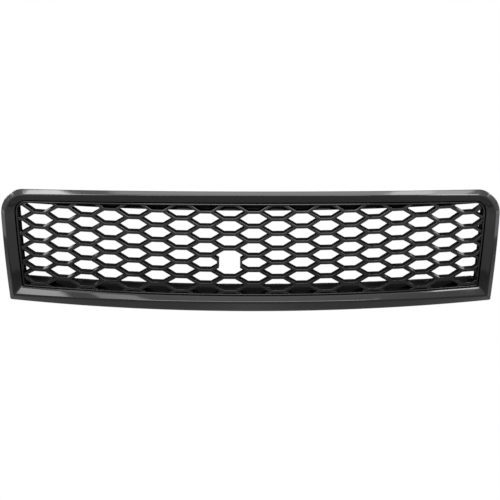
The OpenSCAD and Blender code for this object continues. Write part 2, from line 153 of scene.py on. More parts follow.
class Moulding:
    """Gathers the shapes that are moulded as one piece, then makes them one mesh."""

    def __init__(self):
        self.points = []
        self.faces = []

    def add(self, points, faces):
        first = len(self.points)
        self.points += [tuple(p) for p in points]
        self.faces += [[first + i for i in face] for face in faces]

    def wall(self, rings, closed=True):
        """Skins a stack of equal rings. Closed joins the last to the first; open caps both."""
        count = len(rings[0])
        points = [p for ring in rings for p in ring]
        faces = []
        last = len(rings) if closed else len(rings) - 1
        for i in range(last):
            a, b = i * count, ((i + 1) % len(rings)) * count
            for j in range(count):
                k = (j + 1) % count
                faces.append([a + j, a + k, b + k, b + j])
        if not closed:
            faces.append(list(range(count))[::-1])
            faces.append(list(range((len(rings) - 1) * count, len(rings) * count)))
        self.add(points, faces)

    def swept(self, rings, steps):
        """A closed section swept round the face."""
        self.wall([[(x, face_y(x, z, ring[7] + ring[8] * z), z)
                    for x, z in loop_of(ring[:7], steps)]
                   for ring in rings])

    def turned(self, centre, axis, profile, hollow=False, sides=36):
        """A shape turned about an axis, Y or Z. The profile is radius and distance along it."""
        rings = []
        for radius, along in profile:
            ring = []
            for i in range(sides):
                angle = 2 * math.pi * i / sides
                u, v = radius * math.cos(angle), radius * math.sin(angle)
                offset = (u, along, v) if axis == "Y" else (u, v, along)
                ring.append(tuple(c + o for c, o in zip(centre, offset)))
            rings.append(ring)
        self.wall(rings, closed=hollow)

    def piece(self, name, shift, sharp=38):
        mesh = bpy.data.meshes.new(name)
        mesh.from_pydata([tuple(Vector(p) + shift) for p in self.points], [], self.faces)
        mesh.validate()
        shape = bmesh.new()
        shape.from_mesh(mesh)
        bmesh.ops.remove_doubles(shape, verts=shape.verts, dist=1e-7)
        bmesh.ops.recalc_face_normals(shape, faces=shape.faces)
        shape.to_mesh(mesh)
        shape.free()
        mesh.shade_smooth()
        mesh.set_sharp_from_angle(angle=math.radians(sharp))
        made = bpy.data.objects.new(name, mesh)
        bpy.context.scene.collection.objects.link(made)
        weighted = made.modifiers.new("even shading", "WEIGHTED_NORMAL")
        weighted.keep_sharp = True
        weighted.weight = 60
        return made


FRAME_WALL = 0.0025
CREST_DEPTH = -0.0214
LIP_DEPTH = -0.0146
REAR_DEPTH, REAR_SLOPE = 0.006, -0.085
frame_section = rounded_section([
    (REAR, REAR_DEPTH, 0.0005, REAR_SLOPE),
    (OUTER, -0.0125, 0.0016),
    (CREST, CREST_DEPTH, 0.0024),
    (LIP, LIP_DEPTH, 0.0007),
    (RETURN, LIP_DEPTH + 0.0022, 0.0010),
    (RETURN, -0.001, 0.0005),
    (grown(RETURN, FRAME_WALL - 0.0004), -0.001, 0.0005),
    (grown(RETURN, FRAME_WALL - 0.0004), LIP_DEPTH + 0.0044, 0.0006),
    (grown(LIP, FRAME_WALL - 0.0009), LIP_DEPTH + 0.0026, 0.0006),
    (CREST * 0.85 + LIP * 0.15, CREST_DEPTH + 0.0034, 0.0010),
    (grown(OUTER, -FRAME_WALL - 0.0001), -0.0126, 0.0012),
    (grown(REAR, -FRAME_WALL), REAR_DEPTH, 0.0005, REAR_SLOPE),
])

# The screws stand in the frame's hollow, those along the top close to the lip.
hollow_out, hollow_in = grown(OUTER, -FRAME_WALL), grown(LIP, FRAME_WALL - 0.0003)
SCREW_POSTS = {
    "top_screws": [(x, top_z(LIP, x) + 0.0026) for x in (-0.335, -0.200, 0.0, 0.200, 0.335)],
    "bottom_screws": [(x, (bottom_z(hollow_out, x) + bottom_z(hollow_in, x)) / 2)
                      for x in (-0.360, -0.240, 0.080, 0.240, 0.360)],
    "right_screws": [((end_x(hollow_out, z) + end_x(hollow_in, z)) / 2, z)
                     for z in (0.038, -0.046)],
}
SCREW_POSTS["left_screws"] = [(-x, z) for x, z in SCREW_POSTS["right_screws"]]
all_posts = [spot for spots in SCREW_POSTS.values() for spot in spots]

surround = Moulding()
surround.swept(frame_section, FRAME_STEPS)
for x, z in all_posts:
    start = LIP_DEPTH + 0.0007 if z > 0.06 else CREST_DEPTH + 0.004
    surround.turned((x, face_y(x, z, 0), z), "Y", [
        (0.00155, start + 0.002), (0.0032, start), (0.0032, 0.0046),
        (0.0030, 0.0048), (0.0018, 0.0048), (0.00155, 0.0046)], hollow=True, sides=24)

# The face is placed by the top of the CAD frame and by the sleeves in the bolting tabs, which
# stand behind the flange of the insert. A tab is placed by its distance from the middle and
# the height of its top.
TABS = {"inner": (0.120, 0.0775), "outer": (0.300, 0.0725)}
TAB_REACH, FLANGE_REAR = 0.030, 0.009
sleeve_low, sleeve_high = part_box("sleeve_inner_left")
behind = face_y(*TABS["inner"], FLANGE_REAR) + TAB_REACH
FACE_ORIGIN = Vector((0, (sleeve_low[1] + sleeve_high[1]) / 2 - behind,
                      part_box("surround")[1][2] - OUTER[2]))


def material(name):
    made = bpy.data.materials.new(name)
    made.use_nodes = True
    return made, made.node_tree.nodes, made.node_tree.links


def node_group(name, inputs, outputs):
    group = bpy.data.node_groups.new(name, "ShaderNodeTree")
    for label, kind in inputs:
        group.interface.new_socket(label, in_out="INPUT", socket_type=kind)
    for label, kind in outputs:
        group.interface.new_socket(label, in_out="OUTPUT", socket_type=kind)
    return (group, group.nodes, group.links,
            group.nodes.new("NodeGroupInput"), group.nodes.new("NodeGroupOutput"))


# Moulded skin: a faint waviness from the tool, a fine grain, and patches that shine less.
skin, nodes, links, into, out = node_group(
    "moulded skin",
    [("Wave size", "NodeSocketFloat"), ("Grain size", "NodeSocketFloat"),
     ("Grain share", "NodeSocketFloat"), ("Shine", "NodeSocketFloat"),
     ("Shine change", "NodeSocketFloat")],
    [("Height", "NodeSocketFloat"), ("Roughness", "NodeSocketFloat")])
place = nodes.new("ShaderNodeTexCoord")
wave = nodes.new("ShaderNodeTexNoise")
grain = nodes.new("ShaderNodeTexNoise")
patches = nodes.new("ShaderNodeTexNoise")
wave.inputs["Detail"].default_value = 1.0
grain.inputs["Detail"].default_value = 3.0
patches.inputs["Scale"].default_value = 17.0
patches.inputs["Detail"].default_value = 5.0
mix = nodes.new("ShaderNodeMix")
links.new(place.outputs["Object"], wave.inputs["Vector"])
links.new(place.outputs["Object"], grain.inputs["Vector"])
links.new(place.outputs["Object"], patches.inputs["Vector"])
links.new(into.outputs["Wave size"], wave.inputs["Scale"])
links.new(into.outputs["Grain size"], grain.inputs["Scale"])
links.new(into.outputs["Grain share"], mix.inputs["Factor"])
links.new(wave.outputs["Fac"], mix.inputs["A"])
links.new(grain.outputs["Fac"], mix.inputs["B"])
links.new(mix.outputs["Result"], out.inputs["Height"])
centred = nodes.new("ShaderNodeMath")
centred.operation = "SUBTRACT"
centred.inputs[1].default_value = 0.5
links.new(patches.outputs["Fac"], centred.inputs[0])
shine = nodes.new("ShaderNodeMath")
shine.operation = "MULTIPLY_ADD"
links.new(centred.outputs[0], shine.inputs[0])
links.new(into.outputs["Shine change"], shine.inputs[1])
links.new(into.outputs["Shine"], shine.inputs[2])
links.new(shine.outputs[0], out.inputs["Roughness"])

# Dust and painted rear light: a pale film that settles on what faces upwards, thicker in some
# places than others. Faces turned to the rear are painted paler as well, a painted light.
dust, nodes, links, into, out = node_group(
    "settled dust",
    [("Clean", "NodeSocketColor"), ("Dust", "NodeSocketColor"), ("Amount", "NodeSocketFloat"),
     ("Rear amount", "NodeSocketFloat")],
    [("Color", "NodeSocketColor")])
facing = nodes.new("ShaderNodeNewGeometry")
split = nodes.new("ShaderNodeSeparateXYZ")
upward = nodes.new("ShaderNodeMapRange")
upward.inputs["From Min"].default_value = 0.2
clumps = nodes.new("ShaderNodeTexNoise")
clumps.inputs["Scale"].default_value = 90.0
clumps.inputs["Detail"].default_value = 6.0
place = nodes.new("ShaderNodeTexCoord")
links.new(place.outputs["Object"], clumps.inputs["Vector"])
links.new(facing.outputs["Normal"], split.inputs[0])
links.new(split.outputs["Z"], upward.inputs["Value"])
broken = nodes.new("ShaderNodeMath")
broken.operation = "MULTIPLY"
links.new(upward.outputs["Result"], broken.inputs[0])
links.new(clumps.outputs["Fac"], broken.inputs[1])
film = nodes.new("ShaderNodeMath")
film.operation = "MULTIPLY"
links.new(broken.outputs[0], film.inputs[0])
links.new(into.outputs["Amount"], film.inputs[1])
blend = nodes.new("ShaderNodeMix")
blend.data_type = "RGBA"
# Faces turned to the rear are painted paler here: painted light standing in for light on the rear.
painted_rear_light_mask = nodes.new("ShaderNodeMapRange")
painted_rear_light_mask.inputs["From Min"].default_value = 0.3
links.new(split.outputs["Y"], painted_rear_light_mask.inputs["Value"])
# This node carries the painted rear light, not a dull finish of the moulding.
dull = nodes.new("ShaderNodeMath")
dull.operation = "MULTIPLY"
links.new(painted_rear_light_mask.outputs["Result"], dull.inputs[0])
links.new(into.outputs["Rear amount"], dull.inputs[1])
both = nodes.new("ShaderNodeMath")
both.operation = "MULTIPLY_ADD"
links.new(dull.outputs[0], both.inputs[0])
links.new(clumps.outputs["Fac"], both.inputs[1])
links.new(film.outputs[0], both.inputs[2])
links.new(both.outputs[0], blend.inputs["Factor"])
links.new(into.outputs["Clean"], blend.inputs["A"])
links.new(into.outputs["Dust"], blend.inputs["B"])
links.new(blend.outputs["Result"], out.inputs["Color"])


def placed_group(nodes, group, **values):
    """A node group with its values set: wave_size sets the input called Wave size."""
    made = nodes.new("ShaderNodeGroup")
    made.node_tree = group
    for label, value in values.items():
        made.inputs[label.replace("_", " ").capitalize()].default_value = value
    return made


def finish_from(name, group, relief, sunken=False, **values):
    """A material whose colour, roughness and relief come from one node group, as far as the
    group gives them."""
    made, nodes, links = material(name)
    shader = nodes["Principled BSDF"]
    surface = placed_group(nodes, group, **values)
    bump = nodes.new("ShaderNodeBump")
    bump.inputs["Distance"].default_value = relief
    bump.invert = sunken
    links.new(surface.outputs["Height"], bump.inputs["Height"])
    links.new(bump.outputs["Normal"], shader.inputs["Normal"])
    for given, taken in (("Color", "Base Color"), ("Roughness", "Roughness")):
        if given in surface.outputs:
            links.new(surface.outputs[given], shader.inputs[taken])
    return made, nodes, links, shader


def moulded_plastic(name, colour, dust_and_rear_paint_colour, dust_amount, shine, change, wave, grain, share,
                    relief):
    made, nodes, links, shader = finish_from(
        name, skin, relief, wave_size=wave, grain_size=grain, grain_share=share, shine=shine,
        shine_change=change)
    # Its rear setting paints faces turned to the rear paler, a painted light; the amount is real
    # dust.
    dust_and_rear_light = placed_group(nodes, dust, clean=(*colour, 1), dust=(*dust_and_rear_paint_colour, 1),
                           amount=dust_amount, rear_amount=0.9)
    links.new(dust_and_rear_light.outputs["Color"], shader.inputs["Base Color"])
    shader.inputs["IOR"].default_value = 1.5
    return made


gloss_black = moulded_plastic(
    "gloss black moulding", (0.0025, 0.0025, 0.0027), (0.05, 0.05, 0.053), 0.03,
    0.09, 0.06, 28.0, 900.0, 0.03, 0.00022)


def finished(moulding, node, paint):
    piece = moulding.piece(node + "_finished", FACE_ORIGIN)
    piece.data.materials.append(paint)
    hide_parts(node)
    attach(piece, "root")


finished(surround, "surround", gloss_black)

# ---- The honeycomb insert -----------------------------------------------------------------
# A second moulding in satin black: the mesh, a thin rim round it, a blank plate that closes
# the outermost cells, and behind the frame a flange with tabs, tongues, pins and screw pads.

WINDOW_HALF, WINDOW_TOP, WINDOW_BOTTOM, WINDOW_SLOPE = 0.3734, 0.0596, 0.0576, 0.098
WINDOW = np.array([WINDOW_HALF + WINDOW_SLOPE * WINDOW_TOP, 0.0008, WINDOW_TOP, WINDOW_TOP,
                   -WINDOW_BOTTOM, -WINDOW_BOTTOM, WINDOW_SLOPE])
FLANGE_FRONT, FLANGE_INSET, FLANGE_DROP = 0.0065, 0.004, 0.0024
FLANGE = grown(OUTER, -FLANGE_INSET) - np.array([0, 0, FLANGE_DROP, FLANGE_DROP, 0, 0, 0])
RIM_FRONT, RIM_WALL = -0.012, 0.0022
BAR_FRONT, BAR_REAR = -0.009, 0.009
BAR_WIDTH, BAR_EDGE, BAR_DRAFT = 0.0045, 0.0008, 0.0002
COLUMN_PITCH, ROW_PITCH, CELL_FLAT = 0.0389, 0.02289, 0.0189
COLUMN_SHIFT, ROW_SHIFT = 0.0059, 0.0029
LEVER_COLUMN, LEVER_ROW, LEVER_HALF, LEVER_POST = -1, -1, 0.017, 0.0033
LAST_COLUMN, LAST_ROW, SLIVER = 11, 4, 0.000004

half_height = (ROW_PITCH - BAR_WIDTH) / 2
side_angle = math.atan(ROW_PITCH / (2 * (COLUMN_PITCH - CELL_FLAT)))
half_flat = CELL_FLAT / 2 - BAR_WIDTH / 2 * math.tan(side_angle / 2)
half_point = half_flat + half_height / math.tan(side_angle)


def cell_centre(column, row):
    return (COLUMN_SHIFT + column * COLUMN_PITCH,
            ROW_SHIFT + (row + (0.5 if column % 2 else 0)) * ROW_PITCH)


def cell_shape(column, row):
    x, z = cell_centre(column, row)
    return [(x - half_point, z), (x - half_flat, z - half_height), (x + half_flat, z - half_height),
            (x + half_point, z), (x + half_flat, z + half_height), (x - half_flat, z + half_height)]


def cut_back(shape, point, normal):
    """What is left of a flat shape on the near side of a line."""
    kept = []
    for i, b in enumerate(shape):
        a = shape[i - 1]
        da = (a[0] - point[0]) * normal[0] + (a[1] - point[1]) * normal[1]
        db = (b[0] - point[0]) * normal[0] + (b[1] - point[1]) * normal[1]
        if da * db < 0:
            t = da / (da - db)
            kept.append((a[0] + (b[0] - a[0]) * t, a[1] + (b[1] - a[1]) * t))
        if db <= 0:
            kept.append(b)
    return kept


def tidied(shape, least=0.0004):
    """Drops points that lie on top of each other or in the middle of a straight side."""
    kept = [p for i, p in enumerate(shape) if math.dist(p, shape[i - 1]) > least]
    straight = []
    for i, p in enumerate(kept):
        a, b = kept[i - 1], kept[(i + 1) % len(kept)]
        turn = (p[0] - a[0]) * (b[1] - p[1]) - (p[1] - a[1]) * (b[0] - p[0])
        if abs(turn) > 0.002 * math.dist(a, p) * math.dist(p, b):
            straight.append(p)
    return straight


def area_of(shape):
    return sum(shape[i - 1][0] * p[1] - p[0] * shape[i - 1][1] for i, p in enumerate(shape)) / 2


def spread(shape, by):
    """A flat shape, anticlockwise, with every side moved outwards."""
    moved = []
    for i, p in enumerate(shape):
        a, b = shape[i - 1], shape[(i + 1) % len(shape)]
        n1 = np.array([p[1] - a[1], a[0] - p[0]]) / math.dist(a, p)
        n2 = np.array([b[1] - p[1], p[0] - b[0]]) / math.dist(p, b)
        moved.append(tuple(np.array(p) + (n1 + n2) * by / max(1 + n1 @ n2, 0.25)))
    return moved


def inside_of(outline, shape):
    """What is left of a flat shape inside an outline."""
    for i, b in enumerate(outline):
        a = outline[i - 1]
        if len(shape) < 3:
            break
        shape = cut_back(shape, a, (a[1] - b[1], b[0] - a[0]))
    return shape


# The cells end at the inner side of the rim, so the ones there are cut to its outline.
MESH_STEPS = (10, 6, 3, 2, 10)
rim_inside = loop_of(grown(RIM, -RIM_WALL + 0.0003), MESH_STEPS)
rim_near = loop_of(grown(RIM, -RIM_WALL - 0.0006), MESH_STEPS)
holes = []
lever_x = cell_centre(LEVER_COLUMN, LEVER_ROW)[0]
lever_top = cell_centre(LEVER_COLUMN, LEVER_ROW)[1]
lever_low = lever_top - ROW_PITCH
notch = (half_point - LEVER_HALF) * math.tan(side_angle)
for column in range(-LAST_COLUMN, LAST_COLUMN + 1):
    for row in range(-LAST_ROW, LAST_ROW + 1):
        if column == LEVER_COLUMN and row == LEVER_ROW - 1:
            continue
        shape = cell_shape(column, row)
        if column == LEVER_COLUMN and row == LEVER_ROW:
            low, high = cell_shape(column, row - 1), cell_shape(column, row)
            right, left = lever_x + LEVER_HALF, lever_x - LEVER_HALF
            shape = [*low[:4], (right, lever_low + notch), (right, lever_top - notch),
                     *high[3:], high[0], (left, lever_top - notch), (left, lever_low + notch)]
        side = column - LEVER_COLUMN
        if abs(side) == 1:
            post = lever_x + side * (LEVER_HALF + LEVER_POST)
            x, z = cell_centre(column, row)
            if lever_low < z < lever_top:
                shape = cut_back(shape, (post, z), (-side, 0))
        corners = len(shape)
        shape = inside_of(rim_inside, shape)
        # A cell that only just clears the rim loses the tip that would run into it.
        if len(shape) == corners:
            shape = inside_of(rim_near, shape)
        if len(shape) >= 3:
            shape = tidied(shape)
        if len(shape) >= 3 and area_of(shape) > SLIVER:
            holes.append(shape)


def is_inside(point, shape):
    crossings = 0
    for i, b in enumerate(shape):
        a = shape[i - 1]
        if (a[1] > point[1]) != (b[1] > point[1]):
            crossings += point[0] < a[0] + (b[0] - a[0]) * (point[1] - a[1]) / (b[1] - a[1])
    return crossings % 2 == 1


def land(outer, inner_loops, depth, backwards):
    """The flat of the bars at one depth: everything between the loops."""
    points = [Vector(p) for p in outer]
    loops = [list(range(len(outer)))]
    owner = {i: -1 for i in loops[0]}
    for number, loop in enumerate(inner_loops):
        loops.append(list(range(len(points), len(points) + len(loop))))
        owner.update({i: number for i in loops[-1]})
        points += [Vector(p) for p in loop]
    edges = [(loop[i - 1], loop[i]) for loop in loops for i in range(len(loop))]
    flat, _, faces, origin, _, _ = delaunay_2d_cdt(points, edges, [], 0, 1e-7)
    owners = [owner.get(o[0], -1) if o else -1 for o in origin]
    kept = []
    for face in faces:
        number = owners[face[0]]
        centre = (flat[face[0]] + flat[face[1]] + flat[face[2]]) / 3
        if not (number >= 0 and number == owners[face[1]] == owners[face[2]]
                and is_inside(centre, inner_loops[number])):
            kept.append(list(face))
    if backwards:
        kept = [f[::-1] for f in kept]
    return [(p[0], face_y(p[0], p[1], depth), p[1]) for p in flat], kept


insert = Moulding()
bar_band = loop_of(grown(RIM, -0.0010), MESH_STEPS)
bar_levels = [(BAR_EDGE, BAR_FRONT), (BAR_EDGE * 0.45, BAR_FRONT + BAR_EDGE * 0.16),
              (BAR_EDGE * 0.16, BAR_FRONT + BAR_EDGE * 0.45), (0.0, BAR_FRONT + BAR_EDGE),
              (-BAR_DRAFT, BAR_REAR - 0.0004), (-BAR_DRAFT + 0.0003, BAR_REAR)]
for shape in holes:
    insert.wall([[(x, face_y(x, z, depth), z) for x, z in spread(shape, by)]
                 for by, depth in bar_levels], closed=True)
    # The wall is one open tube: its last ring isn't joined back to its first.
    del insert.faces[-len(shape):]
insert.add(*land(bar_band, [spread(s, bar_levels[0][0]) for s in holes], BAR_FRONT, False))
insert.add(*land(bar_band, [spread(s, bar_levels[-1][0]) for s in holes], BAR_REAR, True))
insert.wall([[(x, face_y(x, z, depth), z) for x, z in bar_band] for depth in (BAR_FRONT, BAR_REAR)],
            closed=True)
del insert.faces[-len(bar_band):]

RIM_STEPS = (32, 10, 6, 3, 28)
insert.swept(rounded_section([
    (RIM, BAR_REAR, 0.0002),
    (RIM, RIM_FRONT, 0.0007),
    (grown(RIM, -RIM_WALL), RIM_FRONT, 0.0009),
    (grown(RIM, -RIM_WALL - 0.0014), FLANGE_FRONT, 0.0002),
    (grown(RIM, -RIM_WALL - 0.0014), BAR_REAR, 0.0002),
], 3), RIM_STEPS)
insert.swept(rounded_section([
    (FLANGE, FLANGE_FRONT, 0.0004), (WINDOW, FLANGE_FRONT, 0.0005),
    (WINDOW, FLANGE_REAR, 0.0005), (FLANGE, FLANGE_REAR, 0.0004)], 3), RIM_STEPS)

SEAT = 0.012
PAD_PROFILE = [(0.00175, 0.0049), (0.0045, 0.0049), (0.0045, SEAT - 0.0004),
               (0.0041, SEAT), (0.0021, SEAT), (0.00175, SEAT - 0.0003)]
for x, z in all_posts:
    insert.turned((x, face_y(x, z, 0), z), "Y", PAD_PROFILE, hollow=True)

# A locating pin at each end, on a pad and a shoulder, with a tapered tip.
PIN = (0.3916, 0.005)
PIN_PROFILE = [(0.0070, 0.0075), (0.0070, SEAT - 0.0004), (0.0066, SEAT), (0.0054, SEAT),
               (0.0050, SEAT + 0.0003), (0.0050, SEAT + 0.0030), (0.0048, SEAT + 0.0033),
               (0.0042, SEAT + 0.0033), (0.0040, SEAT + 0.0036), (0.0040, 0.0330),
               (0.0038, 0.0338), (0.0027, 0.0361), (0.0022, 0.0363)]
for side in (-1, 1):
    insert.turned((side * PIN[0], face_y(*PIN, 0), PIN[1]), "Y", PIN_PROFILE, sides=40)


def bar_of(moulding, shape, ends, edge, place):
    """A straight bar: a flat shape given a length, with its edges broken."""
    start, end = ends
    if area_of(shape) < 0:
        shape = shape[::-1]
    levels = [(-edge, start), (0, start + edge), (0, end - edge), (-edge, end)]
    moulding.wall([[place(u, v, w) for u, v in spread(shape, by)] for by, w in levels],
                  closed=False)


# Five tongues along the bottom carry the spring clips.
TONGUE_Z, TONGUE_WALL, TONGUE_WIDTH, TONGUE_REACH = -0.0875, 0.0025, 0.024, 0.026
TONGUE_ROOT, TONGUE_CHAMFER, CLIP_SPACING = 0.001, 0.003, 0.160
tongue_tips = {}
for number, name in enumerate(("far_left", "left", "middle", "right", "far_right")):
    x = (number - 2) * CLIP_SPACING
    root = face_y(x, TONGUE_Z, FLANGE_FRONT) + TONGUE_ROOT
    tip = root + TONGUE_REACH
    tongue_tips[name] = (x, tip)
    left, right = x - TONGUE_WIDTH / 2, x + TONGUE_WIDTH / 2
    low, high = TONGUE_Z - TONGUE_WALL / 2, TONGUE_Z + TONGUE_WALL / 2
    bar_of(insert, [(left, root), (right, root), (right, tip - TONGUE_CHAMFER),
                    (right - TONGUE_CHAMFER, tip), (left + TONGUE_CHAMFER, tip),
                    (left, tip - TONGUE_CHAMFER)],
           (low, high), 0.0004, lambda u, v, w: (u, v, w))

# Four tabs along the top take the bolts, each with a boss below and two ribs to the flange.
TAB_WIDTH, TAB_WALL, TAB_END, TAB_HOLE, RIB_WALL = 0.044, 0.0035, 0.015, 0.0061, 0.0025
TAB_ROOT, TAB_CHAMFER, TAB_EDGE, HOLE_STEPS = 0.002, 0.004, 0.0005, 8


def pierced_tab(x, y, top):
    """A flat tab with chamfered corners and a bolt hole, its top and bottom edges broken."""
    half, front = TAB_WIDTH / 2, -TAB_REACH - TAB_ROOT
    corners = [(-half, front), (half, front), (half, TAB_END - TAB_CHAMFER),
               (half - TAB_CHAMFER, TAB_END), (-half + TAB_CHAMFER, TAB_END),
               (-half, TAB_END - TAB_CHAMFER)]
    rings = []
    for grow, drop in ((-TAB_EDGE, 0), (0, TAB_EDGE), (0, TAB_WALL - TAB_EDGE),
                       (-TAB_EDGE, TAB_WALL)):
        edge = spread(corners, grow)
        ring = []
        for i, b in enumerate(edge):
            a = edge[i - 1]
            ring += [(a[0] + (b[0] - a[0]) * k / HOLE_STEPS, a[1] + (b[1] - a[1]) * k / HOLE_STEPS)
                     for k in range(HOLE_STEPS)]
        rings.append([(x + u, y + v, top - drop) for u, v in ring])
    round_hole = []
    for u, v, _ in rings[0]:
        reach = math.hypot(u - x, v - y)
        round_hole.append((x + (u - x) / reach * TAB_HOLE, y + (v - y) / reach * TAB_HOLE))
    rings.insert(0, [(u, v, top) for u, v in round_hole])
    rings.append([(u, v, top - TAB_WALL) for u, v in round_hole])
    insert.wall(rings)


for x, top in TABS.values():
    y = face_y(x, top, FLANGE_REAR) + TAB_REACH
    under = top - TAB_WALL
    for side in (-1, 1):
        pierced_tab(side * x, y, top)
        insert.turned((side * x, y, 0), "Z", [
            (TAB_HOLE, under + 0.0002), (0.0100, under + 0.0002), (0.0100, under - 0.0012),
            (0.0097, under - 0.0015), (TAB_HOLE + 0.0002, under - 0.0015),
            (TAB_HOLE, under - 0.0013)], hollow=True)
        for edge in (-1, 1):
            rib = side * x + edge * (TAB_WIDTH / 2 - RIB_WALL)
            bar_of(insert, [(-0.002, -0.0028), (0.001, -0.0028), (0.034, -0.0015), (0.034, 0.001),
                            (-0.002, 0.001)],
                   (rib - RIB_WALL / 2, rib + RIB_WALL / 2), 0.0003,
                   lambda u, v, w: (w, y - TAB_REACH + u, under + v))

satin_black = moulded_plastic(
    "satin black moulding", (0.0025, 0.0025, 0.0027), (0.06, 0.06, 0.063), 0.03,
    0.10, 0.05, 60.0, 1400.0, 0.3, 0.00002)
finished(insert, "honeycomb_insert", satin_black)

# ---- The sleeves --------------------------------------------------------------------------
# Four flanged sleeves turned from steel and zinc plated. Each is pressed into the boss of a
# tab, so that its bolt clamps steel and doesn't crush the plastic.

# Metal finish: bright and dull patches, and fine lines left by turning or drawing.
finish, nodes, links, into, out = node_group(
    "metal finish",
    [("Bright", "NodeSocketColor"), ("Dull", "NodeSocketColor"),
     ("Patch size", "NodeSocketFloat"), ("Line size", "NodeSocketFloat"),
     ("Shine", "NodeSocketFloat"), ("Shine change", "NodeSocketFloat")],
    [("Color", "NodeSocketColor"), ("Roughness", "NodeSocketFloat"),
     ("Height", "NodeSocketFloat")])
place = nodes.new("ShaderNodeTexCoord")
drawn = nodes.new("ShaderNodeMapping")
drawn.inputs["Scale"].default_value = (0.04, 0.04, 1.0)
lines = nodes.new("ShaderNodeTexNoise")
lines.inputs["Detail"].default_value = 4.0
patches = nodes.new("ShaderNodeTexNoise")
patches.inputs["Detail"].default_value = 6.0
patches.inputs["Roughness"].default_value = 0.65
tone = nodes.new("ShaderNodeMix")
tone.data_type = "RGBA"
rough = nodes.new("ShaderNodeMath")
rough.operation = "MULTIPLY_ADD"
links.new(place.outputs["Object"], drawn.inputs["Vector"])
links.new(drawn.outputs["Vector"], lines.inputs["Vector"])
links.new(place.outputs["Object"], patches.inputs["Vector"])
links.new(into.outputs["Line size"], lines.inputs["Scale"])
links.new(into.outputs["Patch size"], patches.inputs["Scale"])
links.new(patches.outputs["Fac"], tone.inputs["Factor"])
links.new(into.outputs["Bright"], tone.inputs["A"])
links.new(into.outputs["Dull"], tone.inputs["B"])
links.new(patches.outputs["Fac"], rough.inputs[0])
links.new(into.outputs["Shine change"], rough.inputs[1])
links.new(into.outputs["Shine"], rough.inputs[2])
links.new(tone.outputs["Result"], out.inputs["Color"])
links.new(rough.outputs[0], out.inputs["Roughness"])
links.new(lines.outputs["Fac"], out.inputs["Height"])


def metal(name, bright, dull, patch, line, shine, change, relief):
    made, _, _, shader = finish_from(
        name, finish, relief, bright=(*bright, 1), dull=(*dull, 1), patch_size=patch,
        line_size=line, shine=shine, shine_change=change)
    shader.inputs["Metallic"].default_value = 1.0
    return made


SLEEVE_GAP = 0.0001
SLEEVE_PROFILE = [
    (0.0033, -0.0053), (0.0036, -0.0056), (0.0057, -0.0056), (0.0060, -0.0053),
    (0.0060, -0.0002), (0.0062, 0.0), (0.0077, 0.0), (0.0080, 0.0003), (0.0080, 0.0007),
    (0.0077, 0.0010), (0.0038, 0.0010), (0.0034, 0.0008), (0.0033, 0.0005)]
zinc = metal("zinc plate", (0.62, 0.63, 0.65), (0.40, 0.41, 0.42), 260.0, 2600.0, 0.2, 0.25,
             0.00001)
for which, (x, top) in TABS.items():
    y = face_y(x, top, FLANGE_REAR) + TAB_REACH
    for side, hand in ((-1, "left"), (1, "right")):
        sleeve = Moulding()
        sleeve.turned((side * x, y, top + SLEEVE_GAP), "Z", SLEEVE_PROFILE, hollow=True,
                      sides=56)
        finished(sleeve, f"sleeve_{which}_{hand}", zinc)

# ---- The spring clips ---------------------------------------------------------------------
# Five clips folded from grey phosphated spring strip and pushed over the tongues. A leaf
# raised from each leg snaps behind the edge of its slot in the bumper cover.

STRIP, CLIP_HALF, CLIP_LEG, CLIP_EDGE = 0.0008, 0.009, 0.017, 0.00015
clip_inner = TONGUE_WALL / 2 + 0.0001
clip_outer = clip_inner + STRIP
leg = [(-CLIP_LEG - 0.004, clip_inner + 0.0032), (-CLIP_LEG, clip_outer)]
lip = [(-CLIP_LEG, clip_inner), (-CLIP_LEG - 0.004, clip_inner + 0.0022)]
bend = [math.radians(angle) for angle in range(-90, 91, 12)]
strip_shape = ([(u, -v) for u, v in leg]
               + [(clip_outer * math.cos(a), clip_outer * math.sin(a)) for a in bend]
               + leg[::-1] + lip[::-1]
               + [(clip_inner * math.cos(a), clip_inner * math.sin(a)) for a in bend[::-1]]
               + [(u, -v) for u, v in lip])
leaf_shape = [(-0.0006, clip_outer), (-0.009, clip_inner + 0.0054),
              (-0.013, clip_inner + 0.0026), (-0.013, clip_inner + 0.0016),
              (-0.009, clip_inner + 0.0044), (-0.001, clip_inner + 0.0004)]
phosphate = metal("grey phosphate", (0.20, 0.20, 0.205), (0.075, 0.077, 0.08), 900.0, 1500.0,
                  0.35, 0.3, 0.00002)
for name, (x, tip) in tongue_tips.items():
    clip = Moulding()
    for shape, half in ((strip_shape, CLIP_HALF), (leaf_shape, CLIP_HALF / 2),
                        ([(u, -v) for u, v in leaf_shape], CLIP_HALF / 2)):
        bar_of(clip, shape, (x - half, x + half), CLIP_EDGE,
               lambda u, v, w: (w, tip + 0.0001 + u, TONGUE_Z + v))
    finished(clip, f"clip_{name}", phosphate)

# ---- The screws ---------------------------------------------------------------------------
# Fourteen self-tapping screws with round heads and cross recesses, plated black. They go in
# from behind, through the pads of the insert, and cut their thread in the frame's posts.

SCREW_LENGTH, SCREW_POINT, THREAD_PITCH = 0.019, 0.003, 0.0011
THREAD_ROOT, THREAD_CREST = 0.00112, 0.00144
CROSS_REACH, CROSS_HALF = 0.0017, 0.0004
TURN_STEPS, SCREW_SIDES = 4, 32
HEAD_PROFILE = [(0.0015, 0.0001), (0.0033, 0.0001), (0.0033, 0.0009), (0.0031, 0.0016),
                (0.0026, 0.0021), (0.0021, 0.0023)]


def screw_ring(centre, radius_at, along):
    ring = []
    for i in range(SCREW_SIDES):
        angle = 2 * math.pi * i / SCREW_SIDES
        radius = radius_at(angle)
        ring.append((centre[0] + radius * math.cos(angle), centre[1] + along,
                     centre[2] + radius * math.sin(angle)))
    return ring


def cross(angle):
    c, s = abs(math.cos(angle)) + 1e-9, abs(math.sin(angle)) + 1e-9
    return max(min(CROSS_REACH / c, CROSS_HALF / s), min(CROSS_REACH / s, CROSS_HALF / c))


